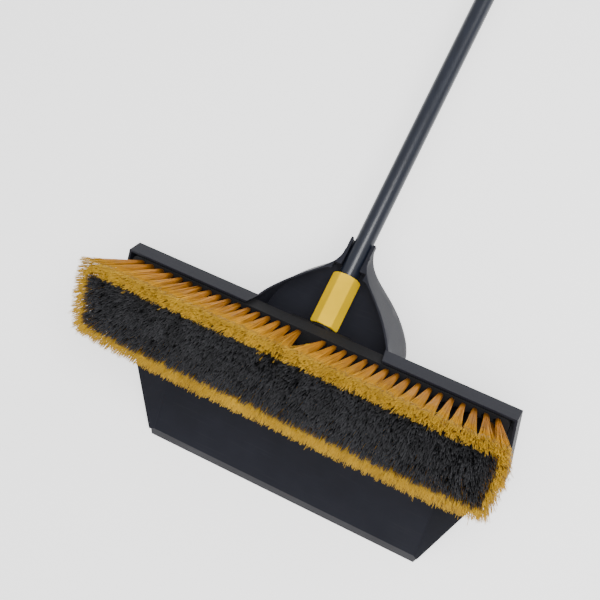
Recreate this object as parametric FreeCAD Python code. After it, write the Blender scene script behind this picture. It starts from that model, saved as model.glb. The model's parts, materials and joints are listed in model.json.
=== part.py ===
import FreeCAD, Part
import math
import os

from FreeCAD import Vector

# Push broom with a clip-on dust pan, lying on its back with the bristles up.
# It rests on the lip of the pan and on the cap at the far end of the handle.
#
# Everything is drawn in the head frame and turned into the resting pose when it is written:
#   x along the brush block, y across the block towards the handle, z along the bristles,
#   with the origin at the centre of the block's bristle face.
# Lengths along the handle are measured from the point where its axis crosses y = 0.

# ---- driving dimensions (mm, degrees) ----
HANDLE_TILT = 44.0          # angle between the handle and the block's bristle face
AXIS_DROP = 20.0            # depth of the handle axis below the bristle face at y = 0

TUBE_OD = 22.2
TUBE_WALL = 1.2
TUBE_START = 34.2
TUBE_LENGTH = 1219.0

BLOCK_LENGTH = 472.0
BLOCK_WIDTH = 45.8
BLOCK_THICKNESS = 22.0
BLOCK_CORNER_R = 7.0
BLOCK_BACK_CHAMFER = 4.0

TUFT_PITCH = 12.7
TUFT_HOLE_R = 3.1
TUFT_HOLE_DEPTH = 13.0
TUFT_ROW_Y = 15.0
CENTRE_GAP_PITCHES = 2.62
TUFTS_PER_HALF_ROW = 17
INNER_ROW_PITCH = 7.5
ANCHOR_SIZE = (5.0, 0.7, 3.0)

TRIM = 85.0                 # free length of the bristles
ROOT_HALF = (223.0, 18.0)   # half sizes of the whole brush at the block
TIP_HALF = (253.0, 47.0)    # and at the flared tips
ROOT_BAND = 6.0             # width of the yellow band at the block
TIP_BAND = (10.0, 14.0)     # and at the tips, along x and along y
ROW_GAP = 0.3               # space left between neighbouring rows

PAN_WALL = 2.6
RIM_HEIGHT = 22.0
RIM_TOP_DROP = 24.0         # how far the rim line falls from the back to the lip
PAN_BACK = (242.0, 27.5)    # rear corner of the rim
PAN_SIDE = (253.0, -60.0)   # widest corner of the rim
PAN_LIP = (187.0, -241.0)   # lip corner
PAN_KEEL = (190.0, -36.0, -86.0)   # end of the deepest line of the pan
LIP_DROP = 3.0              # the floor's front edge below the rim line
LIP_STRIP_WIDTH = 9.0
LIP_STRIP_REAR = 2.7        # thickness of the strip where it meets the shell
RIM_INSET = 0.42            # rise of the inner corners for each mm of wall, at the rear,
SIDE_INSET = 0.35           # at the sides,
FLOOR_INSET = 1.04          # and on the sloping floor
KEEL_INSET = 0.45           # inward move of the keel's end for each mm of wall
DISH_OPEN = 12.0            # how far the spaces cut from the dish and the throat
THROAT_OPEN = 40.0          # run on past the rim
LIP_EDGE = 1.0
SIDE_RIM_HEIGHT = 20.0

# Throat of the pan: y, then half width and z of the wall's top, then half width and z of its foot.
THROAT = (
    (-34.0, 92.0, -16.0, 86.0, -83.0),
    (4.0, 91.0, -18.0, 84.0, -93.0),
    (26.0, 82.5, -25.0, 67.5, -98.0),
    (42.0, 66.5, -42.0, 50.5, -101.0),
    (57.0, 45.5, -59.0, 31.0, -105.0),
    (71.0, 24.5, -75.0, 17.5, -111.0),
    (86.0, 16.0, -94.0, 11.0, -123.0),
)
THROAT_HOLLOW = 6           # how many of these sections are hollow

CLIP_START = 95.0
CLIP_END = 130.0
CLIP_SLOT_R = 11.7
CLIP_WALL = 3.6
CLIP_ARM_TOP = 7.0
CLIP_ROOT = 8.0             # how far the arms reach back into the throat
CLIP_MOUTH = 10.0           # length of the flared end
CLIP_MOUTH_R = 14.2
COLLAR_ROOM_R = 20.0        # radius of the room left for the collar inside the throat
WAY_OUT = 60.0              # height of the open way above the handle's axis

HUB_PLATE = (84.0, 38.0, 5.0)
HUB_BOSS_R = 15.0
HUB_BOSS_END = 18.0
HUB_THREAD_R = 12.6
HUB_THREAD_END = 34.0
SPIGOT_R = 9.6
SPIGOT_END = 92.0
HUB_CORNER_R = 8.0
HUB_RIB = 4.0
HUB_RIB_REACH = 36.0        # half span of the ribs along the block
HUB_RIB_HEIGHT = 14.0
SCREW_SPACING = (71.3, 27.0)   # each screw stands midway between tuft holes
SCREW_R = 2.0
SCREW_HEAD_R = 4.2
SCREW_HEAD = 2.4
SCREW_HEAD_TAPER = 0.6      # top of the screw's head over its widest radius
SCREW_LENGTH = 14.0

INSERT_Y = 2.5
INSERT_R = 5.0
INSERT_FLANGE_R = 6.0
INSERT_STANDS = 3.0         # how far the insert stands out of the bristle face
BOLT_R = 2.5
BOLT_HEAD_R = 4.5
BOLT_HEAD = 3.0
BOLT_REACH = 16.0           # length of the bolt inside the block

COLLAR_START = 20.0
COLLAR_END = 84.0
COLLAR_FLATS = 30.0
COLLAR_TURN = 18.0          # turn of the hexagon about the handle
COLLAR_THREAD_R = 12.9
COLLAR_NECK_R = 11.4
COLLAR_SHOULDER = 52.0
COLLAR_EDGE_R = 3.0

RING_START = 38.0
RING_END = 50.5
RING_R = 12.5
RING_BORE_R = 11.4
RING_SLOT = 3.0

CAP_R = 12.2
CAP_LENGTH = 38.0
CAP_PLUG = 32.0
CAP_PLUG_R = 9.9
CAP_FLAT = 7.0              # half thickness across the flats that the hanging hole goes through
CAP_FLAT_START = 16.0
HANG_HOLE_R = 4.0
HANG_HOLE_AT = 34.0
RIVET_R = 2.0
RIVET_HEAD_R = 3.6
RIVET_HEAD = 1.2
RIVET_SEAT = 0.6            # how far the head's flat side reaches into the tube's curve
RIVET_AT = 16.0             # distance of the rivet below the tube's end

# ---- derived dimensions ----
TILT = math.radians(HANDLE_TILT)
TUBE_R = TUBE_OD / 2
TUBE_BORE_R = TUBE_R - TUBE_WALL
TUBE_END = TUBE_START + TUBE_LENGTH
RIM_SLOPE = RIM_TOP_DROP / (PAN_BACK[1] - PAN_LIP[1])
X_AXIS = Vector(1, 0, 0)


# ---- drawing helpers ----
def rounded_wire(points, radii):
    """Closed wire through points, with each corner rounded by its radius."""
    edges = []
    count = len(points)
    starts = []
    for i in range(count):
        corner = points[i]
        back = (points[i - 1] - corner).normalize()
        ahead = (points[(i + 1) % count] - corner).normalize()
        if radii[i] <= 0:
            starts.append((corner, None, corner))
            continue
        half = back.getAngle(ahead) / 2
        reach = radii[i] / math.tan(half)
        middle = (back + ahead).normalize()
        centre = corner + middle * (radii[i] / math.sin(half))
        starts.append((corner + back * reach, centre - middle * radii[i], corner + ahead * reach))
    for i in range(count):
        enter, mid, leave = starts[i]
        if mid is not None:
            edges.append(Part.Arc(enter, mid, leave).toShape())
        following = starts[(i + 1) % count][0]
        if leave.distanceToPoint(following) > 1e-6:
            edges.append(Part.LineSegment(leave, following).toShape())
    return Part.Wire(edges)


def plate(points, radii, thickness):
    """Flat plate with a rounded outline, extruded by the vector thickness."""
    return Part.Face(rounded_wire(points, radii)).extrude(thickness)


def polyhedron(faces):
    """Solid bounded by flat faces, each a list of corner points."""
    sides = [Part.Face(Part.makePolygon(face + [face[0]])) for face in faces]
    solid = Part.Solid(Part.Shell(sides))
    if solid.Volume < 0:
        solid.reverse()
    return solid


def frustum(low, high):
    """Solid between two rectangles; each is (x0, x1, y0, y1, z)."""
    rings = []
    for x0, x1, y0, y1, z in (low, high):
        corners = [Vector(x0, y0, z), Vector(x1, y0, z), Vector(x1, y1, z), Vector(x0, y1, z)]
        rings.append(Part.makePolygon(corners + [corners[0]]))
    return Part.makeLoft(rings, True, True)


def on_handle(shape):
    """Move a shape drawn along +z to the handle's axis."""
    turned = shape.copy()
    turned.rotate(Vector(0, 0, 0), X_AXIS, -(90 + HANDLE_TILT))
    turned.translate(Vector(0, 0, -AXIS_DROP))
    return turned


def rod(radius, start, end):
    """Cylinder on the z axis from start to end."""
    return Part.makeCylinder(radius, end - start, Vector(0, 0, start))


def mirrored(shape):
    return shape.mirror(Vector(0, 0, 0), X_AXIS)


# ---- dust pan ----
def pan_corners(inset, lift):
    """Corners of one half of the pan's dish, moved inwards by inset and up by lift."""
    back_x, back_y = PAN_BACK
    side_x, side_y = PAN_SIDE
    lip_x, lip_y = PAN_LIP
    keel_x, keel_y, keel_z = PAN_KEEL

    def rim_z(y):
        return (y - back_y) * RIM_SLOPE + lift

    front = lip_y - lift * 2
    front_x = lip_x - inset
    floor_slope = (keel_z + RIM_TOP_DROP + LIP_DROP) / (keel_y - lip_y)
    floor_front = keel_z + (front - keel_y) * floor_slope
    return {
        "back_top": Vector(back_x - inset, back_y - inset, rim_z(back_y)),
        "side_top": Vector(side_x - inset, side_y, rim_z(side_y)),
        "lip_top": Vector(front_x, front, rim_z(front) + lift),
        "back_low": Vector(back_x - inset, back_y - inset, -RIM_HEIGHT + inset * RIM_INSET),
        "side_low": Vector(side_x - inset, side_y,
                           rim_z(side_y) - lift - SIDE_RIM_HEIGHT + inset * SIDE_INSET),
        "lip_low": Vector(front_x, front, floor_front + inset * FLOOR_INSET),
        "keel": Vector(keel_x - inset * KEEL_INSET, keel_y - inset * KEEL_INSET,
                       keel_z + inset * FLOOR_INSET),
    }


def dish(inset=0.0, lift=0.0):
    """Closed body of the pan's dish; with an inset and a lift it is the space inside."""
    right = pan_corners(inset, lift)
    left = {name: Vector(-p.x, p.y, p.z) for name, p in right.items()}
    faces = []
    for half in (right, left):
        faces.append([half["back_top"], half["side_top"], half["side_low"], half["back_low"]])
        faces.append([half["side_top"], half["lip_top"], half["lip_low"], half["side_low"]])
        faces.append([half["back_low"], half["side_low"], half["keel"]])
        faces.append([half["side_low"], half["lip_low"], half["keel"]])
        faces.append([half["back_top"], half["side_top"], Vector(0, PAN_SIDE[1], half["side_top"].z)])
        faces.append([half["side_top"], half["lip_top"], Vector(0, PAN_SIDE[1], half["side_top"].z)])
    middle = Vector(0, PAN_SIDE[1], right["side_top"].z)
    faces.append([right["back_top"], left["back_top"], middle])
    faces.append([right["lip_top"], left["lip_top"], middle])
    faces.append([right["back_top"], left["back_top"], left["back_low"], right["back_low"]])
    faces.append([right["back_low"], left["back_low"], left["keel"], right["keel"]])
    faces.append([right["keel"], left["keel"], left["lip_low"], right["lip_low"]])
    faces.append([right["lip_top"], left["lip_top"], left["lip_low"], right["lip_low"]])
    return polyhedron(faces)


def throat(inset=0.0, lift=0.0):
    """Body of the throat behind the dish, lofted through its sections."""
    rings = []
    sections = THROAT if inset == 0 else THROAT[:THROAT_HOLLOW]
    last_y = sections[-1][0]
    for y, top_x, top_z, foot_x, foot_z in sections:
        if y == last_y:
            y -= inset
        top = Vector(top_x - inset, y, top_z)
        foot = Vector(foot_x - inset, y, foot_z + inset)
        rise = (top - foot) * (lift / (top.z - foot.z))
        crest = top + rise
        corners = [crest, foot, Vector(-foot.x, y, foot.z), Vector(-crest.x, y, crest.z)]
        rings.append(Part.makePolygon(corners + [corners[0]]))
    return Part.makeLoft(rings, True, False)


def trough(radius, start, end, height):
    """Round-bottomed groove's envelope along the handle, with straight sides up to a height over its axis."""
    length = end - start
    floor = rod(radius, start, end)
    sides = Part.makeBox(2 * radius, height, length, Vector(-radius, -height, start))
    below = Part.makeBox(4 * radius, 2 * radius, length, Vector(-2 * radius, 0, start))
    return on_handle(floor.common(below).fuse(sides))


def make_pan_shell():
    outer = dish().fuse(throat())
    outer = outer.fuse(trough(CLIP_SLOT_R + CLIP_WALL, CLIP_START - CLIP_ROOT, CLIP_END, CLIP_ARM_TOP))
    shell = outer.cut(dish(PAN_WALL, DISH_OPEN))
    shell = shell.cut(throat(PAN_WALL, THROAT_OPEN))
    shell = shell.cut(trough(COLLAR_ROOM_R, COLLAR_SHOULDER, CLIP_START - 1, WAY_OUT))
    shell = shell.cut(trough(CLIP_SLOT_R, CLIP_START - 12, CLIP_END + 5, WAY_OUT))
    mouth = Part.makeCone(CLIP_SLOT_R, CLIP_MOUTH_R, CLIP_MOUTH, Vector(0, 0, CLIP_END - CLIP_MOUTH))
    shell = shell.cut(on_handle(mouth))
    ahead = Part.makeBox(600, 60, 120, Vector(-300, PAN_LIP[1] + LIP_STRIP_WIDTH - 60, -100))
    return shell.cut(ahead).removeSplitter()


def make_lip_strip():
    """Soft edge strip in front of the shell, tapered to the floor."""
    lip_x, lip_y = PAN_LIP
    foot_front = -RIM_TOP_DROP - LIP_DROP
    slope = (PAN_KEEL[2] - foot_front) / (PAN_KEEL[1] - lip_y)
    rear_y = lip_y + LIP_STRIP_WIDTH
    foot_rear = foot_front + LIP_STRIP_WIDTH * slope
    side_run = (PAN_SIDE[0] - lip_x) / (PAN_SIDE[1] - lip_y)
    rear_x = lip_x + LIP_STRIP_WIDTH * side_run
    rings = []
    for y, x, low, high in ((rear_y, rear_x, foot_rear, foot_rear + LIP_STRIP_REAR),
                            (lip_y, lip_x, foot_front, foot_front + LIP_EDGE)):
        corners = [Vector(-x, y, low), Vector(x, y, low), Vector(x, y, high), Vector(-x, y, high)]
        rings.append(Part.makePolygon(corners + [corners[0]]))
    return Part.makeLoft(rings, True, True)


# ---- brush head ----
def half_row_positions():
    first = CENTRE_GAP_PITCHES * TUFT_PITCH / 2
    return [first + i * TUFT_PITCH for i in range(TUFTS_PER_HALF_ROW)]


def tuft_positions():
    """Centres of all tufts on the bristle face."""
    places = []
    half_row = half_row_positions()
    for y in (-TUFT_ROW_Y, TUFT_ROW_Y):
        places += [(side * x, y) for x in half_row for side in (-1, 1)]
    for y in (-INNER_ROW_PITCH, 0.0, INNER_ROW_PITCH):
        shift = 0.0 if y == 0.0 else TUFT_PITCH / 2
        row = [x - shift for x in half_row]
        if y > 0:
            row = row[1:]
        places += [(side * x, y) for x in row for side in (-1, 1)]
    return places


def make_brush_block():
    half_l = BLOCK_LENGTH / 2
    half_w = BLOCK_WIDTH / 2
    corners = [Vector(-half_l, -half_w, 0), Vector(half_l, -half_w, 0),
               Vector(half_l, half_w, 0), Vector(-half_l, half_w, 0)]
    block = plate(corners, [BLOCK_CORNER_R] * 4, Vector(0, 0, -BLOCK_THICKNESS))
    back_edges = [e for e in block.Edges if e.CenterOfMass.z < -BLOCK_THICKNESS + 0.01]
    block = block.makeChamfer(BLOCK_BACK_CHAMFER, back_edges)
    holes = [Part.makeCylinder(TUFT_HOLE_R, TUFT_HOLE_DEPTH, Vector(x, y, -TUFT_HOLE_DEPTH))
             for x, y in tuft_positions()]
    bore = Part.makeCylinder(INSERT_R, BLOCK_THICKNESS + 2, Vector(0, INSERT_Y, -BLOCK_THICKNESS - 1))
    pilots = [Part.makeCylinder(SCREW_R, SCREW_LENGTH, Vector(x, y, -BLOCK_THICKNESS - 1))
              for x, y in screw_places()]
    socket = on_handle(rod(HUB_BOSS_R + 0.2, -2, 8))
    return block.cut(Part.makeCompound(holes)).cut(Part.makeCompound([bore] + pilots)).cut(socket)


def make_tuft_anchors():
    """One flat wire staple at the bottom of each tuft hole."""
    long, thick, tall = ANCHOR_SIZE
    return Part.makeCompound([
        Part.makeBox(long, thick, tall, Vector(x - long / 2, y - thick / 2, -TUFT_HOLE_DEPTH))
        for x, y in tuft_positions()])


def brush_rows():
    """The brush as rows of bristles, each one flared solid."""
    root_x, root_y = ROOT_HALF
    tip_x, tip_y = TIP_HALF
    root_in_x = root_x - ROOT_BAND
    root_in_y = root_y - ROOT_BAND
    tip_in_x = tip_x - TIP_BAND[0]
    tip_in_y = tip_y - TIP_BAND[1]
    gap = ROW_GAP / 2
    rows = {}

    def row(name, root, tip):
        rows[name] = frustum(root + (0.0,), tip + (TRIM,))

    row("yellow_tufts_back_right",
        (gap, root_x, root_in_y + gap, root_y), (gap, tip_x, tip_in_y + gap, tip_y))
    row("yellow_tufts_back_left",
        (-root_x, -gap, root_in_y + gap, root_y), (-tip_x, -gap, tip_in_y + gap, tip_y))
    row("yellow_tufts_front",
        (-root_x, root_x, -root_y, -root_in_y - gap), (-tip_x, tip_x, -tip_y, -tip_in_y - gap))
    row("yellow_tufts_right_end",
        (root_in_x + gap, root_x, -root_in_y + gap, root_in_y - gap),
        (tip_in_x + gap, tip_x, -tip_in_y + gap, tip_in_y - gap))
    rows["yellow_tufts_left_end"] = mirrored(rows["yellow_tufts_right_end"])
    names = ("black_tufts_front", "black_tufts_middle", "black_tufts_back")
    for i, name in enumerate(names):
        low = -1 + i * 2 / 3
        high = low + 2 / 3
        row(name,
            (-root_in_x + gap, root_in_x - gap, low * root_in_y + gap, high * root_in_y - gap),
            (-tip_in_x + gap, tip_in_x - gap, low * tip_in_y + gap, high * tip_in_y - gap))
    cavity = insert_envelope()
    for name in ("black_tufts_back", "black_tufts_middle"):
        rows[name] = rows[name].cut(cavity)
    return rows


def insert_envelope():
    """Room that the bristles leave round the insert's head."""
    return Part.makeCylinder(INSERT_FLANGE_R + 0.4, INSERT_STANDS + 1.0, Vector(0, INSERT_Y, -0.5))


def make_block_insert():
    """Flanged insert through the block; its head shows in the gap between the tufts."""
    barrel = Part.makeCylinder(INSERT_R, BLOCK_THICKNESS, Vector(0, INSERT_Y, -BLOCK_THICKNESS))
    head = Part.makeCylinder(INSERT_FLANGE_R, INSERT_STANDS, Vector(0, INSERT_Y, 0))
    rim = [e for e in head.Edges if e.CenterOfMass.z > INSERT_STANDS - 0.01]
    head = head.makeFillet(INSERT_STANDS * 0.5, rim)
    bore = Part.makeCylinder(BOLT_R, BLOCK_THICKNESS, Vector(0, INSERT_Y, -BLOCK_THICKNESS - 1))
    return barrel.fuse(head).cut(bore).removeSplitter()


def make_insert_bolt():
    """Bolt from the hub plate up into the insert."""
    seat = -BLOCK_THICKNESS - HUB_PLATE[2]
    shank = Part.makeCylinder(BOLT_R, HUB_PLATE[2] + BOLT_REACH, Vector(0, INSERT_Y, seat))
    head = Part.makeCylinder(BOLT_HEAD_R, BOLT_HEAD, Vector(0, INSERT_Y, seat - BOLT_HEAD))
    return shank.fuse(head).removeSplitter()


# ---- hub, collar and handle ----
def screw_places():
    half_x = SCREW_SPACING[0] / 2
    half_y = SCREW_SPACING[1] / 2
    return [(-half_x, -half_y), (half_x, -half_y), (-half_x, half_y), (half_x, half_y)]


def make_hub_socket():
    """Bracket on the block's back, with a boss, a screw thread's barrel and a spigot."""
    length, width, thick = HUB_PLATE
    back = -BLOCK_THICKNESS
    corners = [Vector(-length / 2, -width / 2, back), Vector(length / 2, -width / 2, back),
               Vector(length / 2, width / 2, back), Vector(-length / 2, width / 2, back)]
    hub = plate(corners, [HUB_CORNER_R] * 4, Vector(0, 0, -thick))
    boss = on_handle(rod(HUB_BOSS_R, -6, HUB_BOSS_END))
    hub = hub.fuse(boss)
    for side in (-1, 1):
        web = [Vector(side * (HUB_BOSS_R - 2), 0, back - thick),
               Vector(side * HUB_RIB_REACH, 0, back - thick),
               Vector(side * (HUB_BOSS_R - 2), 0, back - thick - HUB_RIB_HEIGHT)]
        rib = Part.Face(Part.makePolygon(web + [web[0]])).extrude(Vector(0, HUB_RIB, 0))
        hub = hub.fuse(rib)
    beyond = Part.makeBox(200, 200, 60, Vector(-100, -100, back))
    hub = hub.cut(beyond)
    hub = hub.fuse(on_handle(rod(HUB_THREAD_R, HUB_BOSS_END - 1, HUB_THREAD_END)))
    hub = hub.fuse(on_handle(rod(SPIGOT_R, HUB_THREAD_END - 1, SPIGOT_END)))
    tools = [Part.makeCylinder(SCREW_R, thick + 2, Vector(x, y, back - thick - 1)) for x, y in screw_places()]
    tools.append(Part.makeCylinder(BOLT_R, 60, Vector(0, INSERT_Y, back - 60)))
    tools.append(Part.makeCylinder(BOLT_HEAD_R + 0.5, 60, Vector(0, INSERT_Y, back - thick - 60)))
    return hub.cut(Part.makeCompound(tools)).removeSplitter()


def make_hub_screws():
    seat = -BLOCK_THICKNESS - HUB_PLATE[2]
    screws = []
    for x, y in screw_places():
        shank = Part.makeCylinder(SCREW_R, HUB_PLATE[2] + SCREW_LENGTH - 2, Vector(x, y, seat))
        narrow = SCREW_HEAD_R * SCREW_HEAD_TAPER
        head = Part.makeCone(narrow, SCREW_HEAD_R, SCREW_HEAD, Vector(x, y, seat - SCREW_HEAD))
        screws.append(shank.fuse(head).removeSplitter())
    return Part.makeCompound(screws)


def make_locking_collar():
    """Hexagonal nut sleeve with rounded ends."""
    corner_r = COLLAR_FLATS / math.sqrt(3)
    corners = []
    for i in range(6):
        angle = math.radians(60 * i + COLLAR_TURN)
        corners.append(Vector(corner_r * math.sin(angle), corner_r * math.cos(angle), COLLAR_START))
    hexagon = plate(corners, [1.5] * 6, Vector(0, 0, COLLAR_END - COLLAR_START))
    turned = rod(corner_r, COLLAR_START, COLLAR_END)
    turned = turned.makeFillet(COLLAR_EDGE_R, [e for e in turned.Edges if len(e.Vertexes) == 1])
    collar = hexagon.common(turned)
    collar = collar.cut(rod(COLLAR_THREAD_R, COLLAR_START - 1, COLLAR_SHOULDER))
    collar = collar.cut(rod(COLLAR_NECK_R, COLLAR_SHOULDER - 1, COLLAR_END + 1))
    return on_handle(collar)


def make_compression_ring():
    """Split ring that the collar squeezes on to the tube."""
    ring = rod(RING_R, RING_START, RING_END).cut(rod(RING_BORE_R, RING_START - 1, RING_END + 1))
    slot = Part.makeBox(RING_SLOT, 40, 40, Vector(-RING_SLOT / 2, 0, RING_START - 5))
    return on_handle(ring.cut(slot))


def make_handle_tube():
    tube = rod(TUBE_R, TUBE_START, TUBE_END).cut(rod(TUBE_BORE_R, TUBE_START - 1, TUBE_END + 1))
    return on_handle(tube.cut(rivet_shank(TUBE_OD)))


def rivet_shank(length):
    return Part.makeCylinder(RIVET_R, length, Vector(-length / 2, 0, TUBE_END - RIVET_AT), X_AXIS)


def make_cap_rivet():
    """Cross rivet through the tube and the cap's plug, with a low head at each end."""
    shape = rivet_shank(TUBE_OD)
    for side in (-1, 1):
        seat = Vector(side * (TUBE_R - RIVET_SEAT), 0, TUBE_END - RIVET_AT)
        head = Part.makeCylinder(RIVET_HEAD_R, RIVET_HEAD + RIVET_SEAT, seat, Vector(side, 0, 0))
        shape = shape.fuse(head.cut(rod(TUBE_R, TUBE_END - 40, TUBE_END)))
    return on_handle(shape.removeSplitter())


def make_handle_cap():
    """Round cap with a plug in the tube and a hanging hole through its flats."""
    cap = rod(CAP_R, TUBE_END, TUBE_END + CAP_LENGTH)
    cap = cap.fuse(Part.makeSphere(CAP_R, Vector(0, 0, TUBE_END + CAP_LENGTH)))
    for side in (-1, 1):
        waste = Part.makeBox(20, 60, 60, Vector(CAP_FLAT if side > 0 else -CAP_FLAT - 20, -30,
                                                TUBE_END + CAP_FLAT_START))
        cap = cap.cut(waste)
    cap = cap.fuse(rod(CAP_PLUG_R, TUBE_END - CAP_PLUG, TUBE_END + 1))
    hole = Part.makeCylinder(HANG_HOLE_R, 60, Vector(-30, 0, TUBE_END + HANG_HOLE_AT), X_AXIS)
    return on_handle(cap.cut(hole).cut(rivet_shank(TUBE_OD)).removeSplitter())


# ---- resting pose ----
def rest_angle():
    """Turn about x at which the lip's edge and the handle's cap lie level."""
    end = TUBE_END + CAP_LENGTH
    cap_y = end * math.cos(TILT)
    cap_z = -AXIS_DROP - end * math.sin(TILT)
    low, high = 0.0, TILT
    for _ in range(60):
        turn = (low + high) / 2
        lip = PAN_LIP[1] * math.sin(turn) - (RIM_TOP_DROP + LIP_DROP) * math.cos(turn)
        cap = cap_y * math.sin(turn) + cap_z * math.cos(turn) - CAP_R
        if cap < lip:
            low = turn
        else:
            high = turn
    return math.degrees(turn)


def build():
    parts = {
        "pan_shell": make_pan_shell(),
        "lip_strip": make_lip_strip(),
        "brush_block": make_brush_block(),
        "tuft_anchors": make_tuft_anchors(),
        "block_insert": make_block_insert(),
        "insert_bolt": make_insert_bolt(),
        "hub_socket": make_hub_socket(),
        "hub_screws": make_hub_screws(),
        "compression_ring": make_compression_ring(),
        "locking_collar": make_locking_collar(),
        "handle_tube": make_handle_tube(),
        "handle_cap": make_handle_cap(),
        "cap_rivet": make_cap_rivet(),
    }
    parts.update(brush_rows())
    return parts


def main():
    os.makedirs("parts", exist_ok=True)
    parts = build()
    turn = rest_angle()
    box = FreeCAD.BoundBox()
    for name in parts:
        turned = parts[name].copy()
        turned.rotate(Vector(0, 0, 0), X_AXIS, turn)
        parts[name] = turned
        box.add(turned.BoundBox)
    shift = Vector(-box.Center.x, -box.Center.y, -box.ZMin)
    print("turned by %.3f degrees, moved by y %.2f z %.2f" % (turn, shift.y, shift.z))
    for name, shape in parts.items():
        shape.translate(shift)
        state = (name, len(shape.Solids), shape.isValid(), shape.Volume)
        print("%-26s %2d solid(s) valid %s volume %.0f" % state)
        shape.exportStep("parts/%s.step" % name)


main()
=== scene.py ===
"""Push broom lying in its clip-on dust pan.

Every tuft is made of real filaments, and the CAD nodes get moulded, painted and plated finishes.
"""

import json
import math

import bmesh
import bpy
import numpy as np
from mathutils import Matrix, Vector

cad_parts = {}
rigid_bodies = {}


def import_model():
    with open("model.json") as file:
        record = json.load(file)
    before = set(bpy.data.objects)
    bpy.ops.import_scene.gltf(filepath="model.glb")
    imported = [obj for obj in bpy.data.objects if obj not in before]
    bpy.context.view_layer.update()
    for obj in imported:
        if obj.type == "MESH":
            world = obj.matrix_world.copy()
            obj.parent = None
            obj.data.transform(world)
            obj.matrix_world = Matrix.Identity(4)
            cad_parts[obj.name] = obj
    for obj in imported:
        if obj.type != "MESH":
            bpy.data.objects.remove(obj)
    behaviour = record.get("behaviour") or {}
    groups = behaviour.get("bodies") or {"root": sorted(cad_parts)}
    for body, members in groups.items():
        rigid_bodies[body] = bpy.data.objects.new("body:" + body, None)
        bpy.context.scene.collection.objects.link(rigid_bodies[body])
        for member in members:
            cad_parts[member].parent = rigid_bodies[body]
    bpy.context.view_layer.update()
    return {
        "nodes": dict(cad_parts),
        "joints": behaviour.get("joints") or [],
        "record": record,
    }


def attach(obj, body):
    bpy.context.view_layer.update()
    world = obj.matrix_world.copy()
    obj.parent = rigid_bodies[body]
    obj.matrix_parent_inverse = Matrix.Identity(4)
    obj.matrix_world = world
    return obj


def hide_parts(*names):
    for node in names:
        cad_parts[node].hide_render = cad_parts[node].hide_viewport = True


MM = 0.001
SEED = 17

# ---- the brush, in millimetres in the head frame: x along the block, y across it, z along the bristles ----
TUFT_PITCH = 12.7
ROW_Y = 15.0                # the two outer rows
INNER_ROW_Y = 7.5           # the inner rows, either side of the middle one
CENTRE_GAP_PITCHES = 2.62
TUFTS_PER_HALF_ROW = 17
ROOT_R = 2.2
ROOT_DEPTH = 11.0
TRIM = 85.0

TIP_HALF = (255.0, 49.0)    # half sizes of the brush at its tips
END_BAND = 12.0             # width of the yellow band there, at the ends,
BACK_BAND = 16.0            # along the back
FRONT_BAND = 13.5           # and along the front
FRONT_BOW = 8.5             # how far the front tips stand out; this fades evenly to nothing at the back
FRONT_BOW_POWER = 9         # how suddenly it fades near the two ends
END_BOW = 5.0               # how far the tips stand out in the middle of each end
END_BOW_POWER = 8           # how suddenly that begins near the ends
INNER_TIP_Y = 11.0          # half width of the middle row at the tips
END_LEAN_POWER = 5          # how suddenly the tufts begin to lean outwards near the ends
GAP_LEAN = 13.0             # how far the first tufts lean over the central gap
GAP_LEAN_REACH = 25.0       # distance over which that lean dies away
PAST_MIDDLE = 1.0           # how far the strip of the first tufts' tips crosses the middle
CELL_OVERLAP = 1.14         # tips of neighbouring tufts mix by this much
TIP_MIX = 0.12              # how far the order of the filaments is lost between root and tip
FLARE_POWER = 1.45          # a tuft opens slowly at first and then widely

FILAMENTS = 140             # in one tuft
FLAG_START = 0.86           # where along its length a filament splits
SHAFT_LEVELS = (0.0, 0.3, 0.6, FLAG_START)
SHAFT_RADII = (0.30, 0.30, 0.285, 0.255)
FLAG_LEVELS = (FLAG_START, 1.0)
FLAG_RADII = (0.225, 0.20)
FLAG_OPENING = 0.8
TIP_UNEVEN = 3.0            # the shortest filament falls this much short of the trim
FILAMENT_BOW = 0.5
CURL = 2.2
CURL_START = 0.75
STRAY_SHARE = 0.025
STRAY_BEND = 4.0
SIDES = 3                   # of the tube that stands for a filament
TUFT_TONE_SPREAD = 0.10
FILAMENT_TONE_SPREAD = 0.2

CAMERA_AT = (0.2975, -0.6213, 1.3401)
CAMERA_LOOK = (-0.2707, 0.0842, -0.9590)
CAMERA_UP = (-0.3840, 0.9040, 0.1878)
CAMERA_LENS = 64.66
CAMERA_SENSOR = 36.0

# ---- the stage, in metres and watts; the lamps' places are from the middle of the block ----
FLOOR_SIZE = 6.0
FLOOR_GLOW = 0.9
ROOM_GLOW = 0.85
LAMPS = (
    {"name": "key", "place": (0.5, -0.5, 2.4), "size": 1.4, "power": 46},
    {"name": "fill", "place": (0.45, 0.1, 1.3), "size": 0.5, "power": 13},
    {"name": "rim", "place": (1.2, 1.6, 1.4), "size": 1.2, "power": 12},
)

# ---- rounded edges ----
WELD_DISTANCE = 0.01 * MM
ROUNDING_SEGMENTS = 3
SHARP_ANGLE = math.radians(32)

# ---- surface wear ----
BLACK = (0.0, 0.0, 0.0)
WHITE = (1.0, 1.0, 1.0)
WEAR_WIDTH = 1.1 * MM
WEAR_GAIN = 3.0
WEAR_SHARE = 0.55
RUB_SHARE = 0.18


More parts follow.
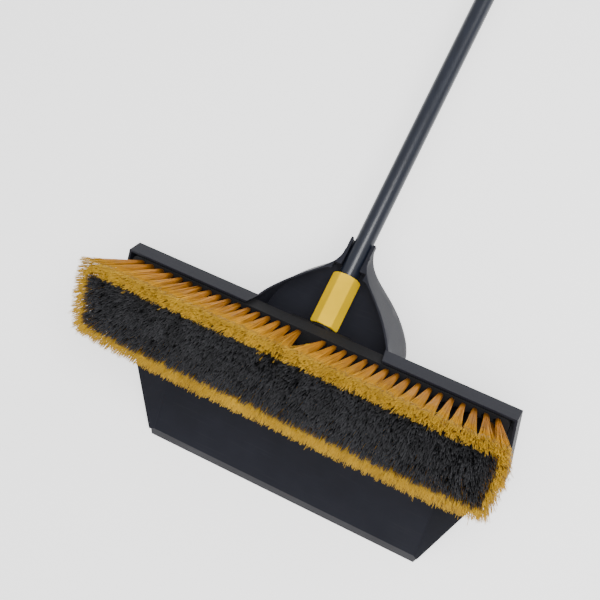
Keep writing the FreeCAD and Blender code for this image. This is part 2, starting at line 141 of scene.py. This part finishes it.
# ---- materials ----
class Nodes:
    """Short way to add and join nodes in a new material."""

    def __init__(self, name):
        self.material = bpy.data.materials.new(name)
        self.material.use_nodes = True
        self.tree = self.material.node_tree
        self.shader = self.tree.nodes["Principled BSDF"]

    def add(self, kind, **inputs):
        node = self.tree.nodes.new(kind)
        for name, value in inputs.items():
            node.inputs[name.replace("_", " ")].default_value = value
        return node

    def join(self, out, into):
        self.tree.links.new(out, into)

    def ramp(self, factor, stops):
        node = self.add("ShaderNodeValToRGB")
        elements = node.color_ramp.elements
        while len(elements) < len(stops):
            elements.new(0.5)
        for element, (place, colour) in zip(elements, stops):
            element.position = place
            element.color = (*colour, 1.0)
        self.join(factor, node.inputs["Fac"])
        return node.outputs["Color"]

    def noise(self, scale, detail=3.0, stretch=(1, 1, 1)):
        """Noise in metres of the object's own space."""
        place = self.add("ShaderNodeTexCoord")
        mapping = self.add("ShaderNodeMapping", Scale=stretch)
        noise = self.add("ShaderNodeTexNoise", Scale=scale, Detail=detail)
        self.join(place.outputs["Object"], mapping.inputs["Vector"])
        self.join(mapping.outputs["Vector"], noise.inputs["Vector"])
        return noise.outputs["Fac"]

    def attribute(self, name):
        node = self.add("ShaderNodeAttribute")
        node.attribute_name = name
        return node.outputs["Fac"]

    def mask(self, factor, dark, light):
        """Black below one value of the factor, white above the other."""
        return self.ramp(factor, [(dark, BLACK), (light, WHITE)])

    def maths(self, operation, *values):
        node = self.add("ShaderNodeMath")
        node.operation = operation
        for socket, value in zip(node.inputs, values):
            if isinstance(value, (int, float)):
                socket.default_value = value
            else:
                self.join(value, socket)
        return node.outputs["Value"]

    def mix(self, factor, a, b, how="MIX"):
        node = self.add("ShaderNodeMix")
        node.data_type = "RGBA"
        node.blend_type = how
        sockets = [s for s in node.inputs if s.enabled]
        for socket, value in zip(sockets, (factor, a, b)):
            if isinstance(value, tuple):
                socket.default_value = (*value, 1.0)
            elif isinstance(value, (int, float)):
                socket.default_value = value
            else:
                self.join(value, socket)
        return next(s for s in node.outputs if s.enabled)

    def finish(self, **inputs):
        """Join or set inputs of the surface shader."""
        for name, value in inputs.items():
            socket = self.shader.inputs[name.replace("_", " ")]
            if isinstance(value, (int, float, tuple)):
                socket.default_value = value
            else:
                self.join(value, socket)

    def bump(self, *layers):
        """Bump from (height, depth in metres) layers, one on top of another."""
        normal = None
        for height, depth in layers:
            node = self.add("ShaderNodeBump", Distance=depth)
            self.join(height, node.inputs["Height"])
            if normal is not None:
                self.join(normal, node.inputs["Normal"])
            normal = node.outputs["Normal"]
        self.join(normal, self.shader.inputs["Normal"])


def shaded(colour, gain):
    return tuple(c * gain for c in colour)


def edge_wear(nodes):
    """Near 1 on the shape's edges and 0 on its faces, broken up by noise."""
    bevel = nodes.add("ShaderNodeBevel", Radius=WEAR_WIDTH)
    bevel.samples = 6
    plain = nodes.add("ShaderNodeNewGeometry")
    dot = nodes.add("ShaderNodeVectorMath")
    dot.operation = "DOT_PRODUCT"
    nodes.join(bevel.outputs["Normal"], dot.inputs[0])
    nodes.join(plain.outputs["Normal"], dot.inputs[1])
    edge = nodes.maths("SUBTRACT", 1.0, dot.outputs["Value"])
    edge = nodes.maths("MULTIPLY", edge, WEAR_GAIN)
    patchy = nodes.maths("MULTIPLY", edge, nodes.noise(260.0, 4.0))
    return nodes.maths("MINIMUM", patchy, 1.0)


def moulded_plastic(name, colour, worn, roughness, grain=0.04 * MM, scuffs=0.10, gloss=0.25):
    """Satin injection-moulded plastic with a fine grain, cloudy tone, scuffs and rubbed edges."""
    nodes = Nodes(name)
    cloud = nodes.noise(14.0, 4.0)
    tone = nodes.ramp(cloud, [(0.3, shaded(colour, 0.82)), (0.7, shaded(colour, 1.18))])
    tone = nodes.mix(nodes.maths("MULTIPLY", edge_wear(nodes), WEAR_SHARE), tone, worn)
    scratch = nodes.mask(nodes.noise(420.0, 2.0, (0.05, 1.0, 1.0)), 0.60, 0.70)
    tone = nodes.mix(nodes.maths("MULTIPLY", scratch, scuffs), tone, worn)
    rough = nodes.maths("MULTIPLY_ADD", cloud, 0.16, roughness - 0.08)
    nodes.finish(Base_Color=tone, Roughness=rough, Specular_IOR_Level=gloss)
    nodes.bump((nodes.noise(1500.0, 2.0), grain), (nodes.noise(55.0, 2.0), grain * 2.5))
    return nodes.material


def powder_coat(name, colour, worn):
    """Satin paint on steel: orange peel, faint lengthways draw lines and dulled rub marks."""
    nodes = Nodes(name)
    lengthways = nodes.noise(300.0, 3.0, (1.0, 0.03, 1.0))
    tone = nodes.ramp(lengthways, [(0.3, shaded(colour, 0.8)), (0.75, shaded(colour, 1.2))])
    rubbed = nodes.mask(nodes.noise(90.0, 5.0, (1.0, 0.25, 1.0)), 0.66, 0.74)
    tone = nodes.mix(nodes.maths("MULTIPLY", rubbed, RUB_SHARE), tone, worn)
    rough = nodes.maths("MULTIPLY_ADD", nodes.noise(120.0, 3.0), 0.18, 0.26)
    nodes.finish(Base_Color=tone, Roughness=rough, Specular_IOR_Level=0.35)
    nodes.finish(Coat_Weight=0.12, Coat_Roughness=0.25)
    nodes.bump((nodes.noise(700.0, 2.0), 0.03 * MM), (nodes.noise(2600.0, 1.0), 0.01 * MM))
    return nodes.material


def plated_steel(name, colour):
    """Zinc-plated steel with a mottled bloom and fine brushed lines."""
    nodes = Nodes(name)
    bloom = nodes.noise(380.0, 4.0)
    tone = nodes.ramp(bloom, [(0.3, shaded(colour, 0.7)), (0.7, colour)])
    rough = nodes.maths("MULTIPLY_ADD", bloom, 0.3, 0.22)
    nodes.finish(Base_Color=tone, Metallic=1.0, Roughness=rough)
    nodes.bump((nodes.noise(2200.0, 2.0, (1.0, 0.1, 1.0)), 0.02 * MM))
    return nodes.material


def bristle(name, stops, roughness, tuft_tone):
    """Filament plastic: colour runs from painted shade at the root to a painted highlight at the tip, and
    each tuft and filament has its own tone.
    """
    nodes = Nodes(name)
    # the ramp along each filament paints shade at the root and a highlight at the tip
    tone = nodes.ramp(nodes.attribute("along"), stops)
    shade = nodes.attribute("shade")
    varied = nodes.ramp(shade, [(0.0, tuft_tone[0]), (1.0, tuft_tone[1])])
    tone = nodes.mix(1.0, tone, varied, "MULTIPLY")
    rough = nodes.maths("MULTIPLY_ADD", shade, 0.2, roughness - 0.1)
    nodes.finish(Base_Color=tone, Roughness=rough, Specular_IOR_Level=0.2)
    nodes.bump((nodes.noise(1800.0, 1.0), 0.04 * MM))
    return nodes.material


def make_plastics():
    black = (0.0125, 0.0132, 0.0185)
    block_black = (0.011, 0.011, 0.012)
    hub_black = (0.006, 0.006, 0.007)
    cap_black = (0.007, 0.007, 0.008)
    grey = (0.035, 0.036, 0.041)
    rubber = (0.04, 0.04, 0.044)
    nylon = (0.6, 0.58, 0.5)
    yellow = {"colour": (0.66, 0.42, 0.0), "worn": (0.74, 0.50, 0.0), "roughness": 0.5,
              "grain": 0.02 * MM, "scuffs": 0.04, "gloss": 0.05}
    plastics = {
        "pan_plastic": {"colour": black, "worn": grey, "roughness": 0.5, "gloss": 0.10},
        "lip_rubber": {"colour": rubber, "worn": (0.08, 0.08, 0.085), "roughness": 0.66,
                       "grain": 0.07 * MM, "scuffs": 0.2, "gloss": 0.2},
        "block_plastic": {"colour": block_black, "worn": grey, "roughness": 0.6,
                          "grain": 0.08 * MM, "scuffs": 0.08, "gloss": 0.10},
        "hub_plastic": {"colour": hub_black, "worn": grey, "roughness": 0.5, "gloss": 0.2},
        "cap_plastic": {"colour": cap_black, "worn": grey, "roughness": 0.45},
        "collar_yellow": yellow,
        "insert_yellow": yellow,
        "ring_nylon": {"colour": nylon, "worn": (0.75, 0.73, 0.64), "roughness": 0.45,
                       "grain": 0.02 * MM, "scuffs": 0.03},
    }
    return {name: moulded_plastic(name, **look) for name, look in plastics.items()}


def make_materials():
    # yellow filaments: painted shade darkens them towards the root, and a painted highlight lightens the
    # tips
    yellow_painted_shade_highlight_stops = [(0.0, (0.20, 0.065, 0.004)), (0.35, (0.56, 0.22, 0.008)),
                    (0.75, (0.59, 0.285, 0.012)), (1.0, (0.52, 0.315, 0.022))]
    yellow_tones = ((0.62, 0.58, 0.5), (1.15, 1.15, 1.15))
    # black filaments: painted shade at the root, and a painted highlight over the last part up to the tip
    black_painted_shade_highlight_stops = [(0.0, (0.002, 0.002, 0.003)), (0.7, (0.004, 0.004, 0.005)),
                   (0.93, (0.009, 0.009, 0.010)), (1.0, (0.022, 0.022, 0.023))]
    black_tones = ((0.4, 0.4, 0.42), (2.4, 2.4, 2.5))
    return {
        **make_plastics(),
        "handle_paint": powder_coat("handle_paint", (0.008, 0.0105, 0.019), (0.05, 0.055, 0.065)),
        "fastener_steel": plated_steel("fastener_steel", (0.62, 0.63, 0.66)),
        "anchor_wire": plated_steel("anchor_wire", (0.66, 0.6, 0.48)),
        "yellow_bristle": bristle("yellow_bristle", yellow_painted_shade_highlight_stops, 0.55, yellow_tones),
        "black_bristle": bristle("black_bristle", black_painted_shade_highlight_stops, 0.6, black_tones),
    }


# ---- the head frame ----
def head_matrix(frame):
    """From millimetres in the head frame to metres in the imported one; read from a joint and the block."""
    lift = next(j for j in frame["joints"] if j["name"] == "broom_lift")
    bristle_axis = Vector(lift["axis"]).normalized()
    along = Vector((1, 0, 0))
    across = bristle_axis.cross(along)
    corners = np.array([v.co for v in frame["nodes"]["brush_block"].data.vertices])
    widths = corners @ np.array(across)
    middle = (widths.max() + widths.min()) / 2
    face = (corners @ np.array(bristle_axis)).max()
    origin = across * middle + bristle_axis * face
    turn = Matrix((along, across, bristle_axis)).transposed().to_4x4()
    return Matrix.Translation(origin) @ turn @ Matrix.Scale(MM, 4)


# ---- bristles ----
def half_row():
    """Places of the tufts of an outer row, from the central gap to the end."""
    first = CENTRE_GAP_PITCHES * TUFT_PITCH / 2
    return [first + i * TUFT_PITCH for i in range(TUFTS_PER_HALF_ROW)]


def tip_at(x, reach, edge):
    """Where the place x on the block's face comes to at the tips: the ends flare out and the gap closes."""
    outwards = (edge - reach) * (x / reach) ** END_LEAN_POWER
    inwards = GAP_LEAN * math.exp(-x / GAP_LEAN_REACH)
    return x + outwards - inwards


def half_row_tufts(places, y, cell_y, edge):
    """Tufts of one half row; their tips fill the strip cell_y from the middle of the brush out to edge."""
    reach = places[-1] + TUFT_PITCH / 2
    bounds = [tip_at(x - TUFT_PITCH / 2, reach, edge) for x in places] + [edge]
    bounds[0] = -PAST_MIDDLE
    return [{"root": (x, y), "cell": (bounds[i], bounds[i + 1], *cell_y)} for i, x in enumerate(places)]


def mirrored(tufts):
    """The same tufts on the other side of x = 0."""
    others = []
    for tuft in tufts:
        x, y = tuft["root"]
        near, far, *cell_y = tuft["cell"]
        others.append({"root": (-x, y), "cell": (-far, -near, *cell_y)})
    return others


def brush_rows():
    """Tufts of every row, under the name of the CAD solid that they stand for."""
    edge_x, edge_y = TIP_HALF
    inner_x = edge_x - END_BAND
    back_y = edge_y - BACK_BAND
    front_y = FRONT_BAND - edge_y
    outer = half_row_tufts(half_row(), ROW_Y, (back_y, edge_y), edge_x)
    front = half_row_tufts(half_row(), -ROW_Y, (-edge_y, front_y), edge_x)
    rows = {"yellow_tufts_back_right": outer, "yellow_tufts_back_left": mirrored(outer),
            "yellow_tufts_front": front + mirrored(front),
            "yellow_tufts_right_end": [], "yellow_tufts_left_end": []}
    for name, y, cell_y in (("black_tufts_front", -INNER_ROW_Y, (front_y, -INNER_TIP_Y)),
                            ("black_tufts_middle", 0.0, (-INNER_TIP_Y, INNER_TIP_Y)),
                            ("black_tufts_back", INNER_ROW_Y, (INNER_TIP_Y, back_y))):
        places = half_row() if y == 0 else [x - TUFT_PITCH / 2 for x in half_row()]
        if y > 0:
            places = places[1:]
        black = half_row_tufts(places[:-1], y, cell_y, inner_x)
        end = [{"root": (places[-1], y), "cell": (inner_x, edge_x, *cell_y)}]
        rows[name] = black + mirrored(black)
        rows["yellow_tufts_right_end"] += end
        rows["yellow_tufts_left_end"] += mirrored(end)
    return rows


def disc(rng, count):
    """Random points spread evenly over the unit disc."""
    reach = np.sqrt(rng.random(count))
    angle = rng.random(count) * 2 * math.pi
    return np.column_stack([reach * np.cos(angle), reach * np.sin(angle)])


def squared(points):
    """The unit disc stretched out into the square from -1 to 1."""
    longest = np.abs(points).max(axis=1, keepdims=True)
    length = np.linalg.norm(points, axis=1, keepdims=True)
    return points * length / np.maximum(longest, 1e-9)


def bowed(plan):
    """How far the tips at these places stand out at the ends and towards the front."""
    edge_x, edge_y = TIP_HALF
    x = np.clip(plan[:, 0] / edge_x, -1, 1)
    y = np.clip(plan[:, 1] / edge_y, -1, 1)
    outwards = END_BOW * np.sign(x) * np.abs(x) ** END_BOW_POWER * (1 - y ** 2)
    frontwards = FRONT_BOW * (1 - np.abs(x) ** FRONT_BOW_POWER) * (1 - y) / 2
    return np.column_stack([outwards, -frontwards])


def filament_lines(tufts, rng):
    """Centre lines of all filaments: shafts and the two flags that each one splits into."""
    shafts = []
    flags = []
    tones = []
    for one in tufts:
        start = disc(rng, FILAMENTS)
        mixed = (1 - TIP_MIX) * squared(start) + TIP_MIX * (rng.random((FILAMENTS, 2)) * 2 - 1)
        root = np.array(one["root"]) + start * ROOT_R
        x0, x1, y0, y1 = one["cell"]
        centre = np.array([(x0 + x1) / 2, (y0 + y1) / 2])
        half = np.array([(x1 - x0) / 2, (y1 - y0) / 2]) * CELL_OVERLAP
        stray = (rng.random(FILAMENTS) < STRAY_SHARE)[:, None]
        tip = centre + mixed * half + stray * rng.normal(0, STRAY_BEND, (FILAMENTS, 2))
        lean = centre - np.array(one["root"])
        height = TRIM - TIP_UNEVEN * rng.random(FILAMENTS) ** 2
        bow = rng.normal(0, FILAMENT_BOW, (FILAMENTS, 2))
        curl = rng.normal(0, CURL, (FILAMENTS, 2))

        def point(t):
            straight = root + lean * t
            opened = (tip - lean - root) * t ** FLARE_POWER
            loose = bow * math.sin(math.pi * t) + curl * max(0.0, t - CURL_START)
            plan = straight + opened + loose
            plan += t ** 2 * bowed(plan)
            level = -ROOT_DEPTH + (height + ROOT_DEPTH) * t
            return np.column_stack([plan, level])

        shafts.append(np.stack([point(t) for t in SHAFT_LEVELS], axis=1))
        fork = point(FLAG_START)
        ends = point(1.0)
        for sign in (-1, 1):
            opening = rng.normal(0, FLAG_OPENING, (FILAMENTS, 3)) * sign
            opening[:, 2] = -np.abs(opening[:, 2])
            flags.append(np.stack([fork, ends + opening], axis=1))
        tuft_tone = rng.normal(0.5, TUFT_TONE_SPREAD)
        tones.append(np.clip(tuft_tone + rng.normal(0, FILAMENT_TONE_SPREAD, FILAMENTS), 0, 1))
    flag_tone = np.concatenate([np.concatenate([tone, tone]) for tone in tones])
    shaft_set = (np.concatenate(shafts), np.array(SHAFT_LEVELS), np.concatenate(tones))
    flag_set = (np.concatenate(flags), np.array(FLAG_LEVELS), flag_tone)
    return shaft_set, flag_set


def swept(lines, levels, tone, radii):
    """Closed tubes along lines; gives vertices, side faces, end faces and the two colour numbers."""
    count, rings = lines.shape[:2]
    turn = np.arange(SIDES) * 2 * math.pi / SIDES
    ring = np.column_stack([np.cos(turn), np.sin(turn), np.zeros(SIDES)])
    vertices = lines[:, :, None, :] + ring[None, None] * radii[None, :, None, None]
    along = np.broadcast_to(levels[None, :, None], (count, rings, SIDES))
    shade = np.broadcast_to(tone[:, None, None], (count, rings, SIDES))
    faces = []
    for r in range(rings - 1):
        for k in range(SIDES):
            n = (k + 1) % SIDES
            faces.append((r * SIDES + k, r * SIDES + n, (r + 1) * SIDES + n, (r + 1) * SIDES + k))
    caps = [tuple(reversed(range(SIDES))), tuple(range((rings - 1) * SIDES, rings * SIDES))]
    step = np.arange(count)[:, None] * rings * SIDES
    quads = (step[:, :, None] + np.array(faces)[None]).reshape(-1, 4)
    ends = (step[:, :, None] + np.array(caps)[None]).reshape(-1, SIDES)
    return vertices.reshape(-1, 3), quads, ends, along.ravel(), shade.ravel()


def filament_mesh(name, tufts, to_row, rng):
    """One mesh of all the filaments of a row, with its colour numbers as point attributes."""
    shaft_lines, flag_lines = filament_lines(tufts, rng)
    parts = [swept(*shaft_lines, np.array(SHAFT_RADII)), swept(*flag_lines, np.array(FLAG_RADII))]
    faces = []
    offset = 0
    for part in parts:
        faces += (part[1] + offset).tolist()
        faces += (part[2] + offset).tolist()
        offset += len(part[0])
    points = np.concatenate([part[0] for part in parts])
    points = np.column_stack([points, np.ones(len(points))]) @ np.array(to_row).T
    mesh = bpy.data.meshes.new(name)
    mesh.from_pydata(points[:, :3].tolist(), [], faces)
    for label, column in (("along", 3), ("shade", 4)):
        values = np.concatenate([part[column] for part in parts]).astype(np.float32)
        mesh.attributes.new(label, "FLOAT", "POINT").data.foreach_set("value", values)
    mesh.shade_smooth()
    return mesh


def make_bristles(to_row, materials):
    rng = np.random.default_rng(SEED)
    for node, tufts in brush_rows().items():
        colour = "yellow_bristle" if node.startswith("yellow") else "black_bristle"
        name = "filaments_" + node
        piece = bpy.data.objects.new(name, filament_mesh(name, tufts, to_row, rng))
        bpy.context.scene.collection.objects.link(piece)
        piece.data.materials.append(materials[colour])
        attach(piece, "broom_head")
        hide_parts(node)


# ---- CAD nodes ----
EDGE_RADII = {              # in millimetres; 0 leaves the edges sharp
    "pan_shell": 1.0, "lip_strip": 0.25, "brush_block": 0.6, "block_insert": 0.3, "insert_bolt": 0.3,
    "hub_socket": 0.6, "hub_screws": 0.2, "compression_ring": 0.2, "locking_collar": 0.7,
    "handle_tube": 0.15, "handle_cap": 0.8, "cap_rivet": 0.2, "tuft_anchors": 0.0,
}


def dress_nodes(frame, materials):
    """The finish of each CAD node, and the small radius that its moulded or rolled edges have."""
    finish = {part["node"]: part["material_slot"] for part in frame["record"]["subparts"]}
    for node, radius in EDGE_RADII.items():
        shown = frame["nodes"][node]
        shown.data.materials.clear()
        shown.data.materials.append(materials[finish[node]])
        if radius == 0:
            continue
        weld = shown.modifiers.new("weld", "WELD")
        weld.merge_threshold = WELD_DISTANCE
        rounding = shown.modifiers.new("rounding", "BEVEL")
        rounding.width = radius * MM
        rounding.segments = ROUNDING_SEGMENTS
        rounding.limit_method = "ANGLE"
        rounding.angle_limit = SHARP_ANGLE
        rounding.harden_normals = True


# ---- stage ----
def make_floor():
    mesh = bpy.data.meshes.new("floor")
    shape = bmesh.new()
    bmesh.ops.create_grid(shape, x_segments=1, y_segments=1, size=FLOOR_SIZE)
    shape.to_mesh(mesh)
    shape.free()
    floor = bpy.data.objects.new("floor", mesh)
    bpy.context.scene.collection.objects.link(floor)
    nodes = Nodes("pale_floor")
    nodes.finish(Base_Color=(0.93, 0.93, 0.93, 1.0), Roughness=0.9)
    nodes.finish(Emission_Color=(*WHITE, 1.0), Emission_Strength=FLOOR_GLOW)
    floor.data.materials.append(nodes.material)


def soft_light(name, place, aim, size, power):
    """Square area lamp turned towards aim."""
    light = bpy.data.lights.new(name, "AREA")
    light.energy = power
    light.size = size
    lamp = bpy.data.objects.new(name, light)
    lamp.location = place
    lamp.rotation_euler = (Vector(aim) - Vector(place)).to_track_quat("-Z", "Y").to_euler()
    bpy.context.scene.collection.objects.link(lamp)


def make_lights(centre):
    for lamp in LAMPS:
        soft_light(lamp["name"], centre + Vector(lamp["place"]), centre, lamp["size"], lamp["power"])
    world = bpy.data.worlds.new("room")
    world.use_nodes = True
    background = world.node_tree.nodes["Background"]
    background.inputs["Color"].default_value = (*WHITE, 1.0)
    background.inputs["Strength"].default_value = ROOM_GLOW
    bpy.context.scene.world = world


def make_camera():
    look = Vector(CAMERA_LOOK).normalized()
    side = look.cross(Vector(CAMERA_UP)).normalized()
    up = side.cross(look)
    camera = bpy.data.objects.new("camera", bpy.data.cameras.new("camera"))
    turn = Matrix((side, up, -look)).transposed().to_4x4()
    camera.matrix_world = Matrix.Translation(CAMERA_AT) @ turn
    camera.data.lens = CAMERA_LENS
    camera.data.sensor_width = CAMERA_SENSOR
    bpy.context.scene.collection.objects.link(camera)
    bpy.context.scene.camera = camera


def main():
    for thing in list(bpy.data.objects):
        bpy.data.objects.remove(thing)
    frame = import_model()
    materials = make_materials()
    to_row = head_matrix(frame)
    dress_nodes(frame, materials)
    make_bristles(to_row, materials)
    make_floor()
    make_lights(to_row.translation)
    make_camera()


main()
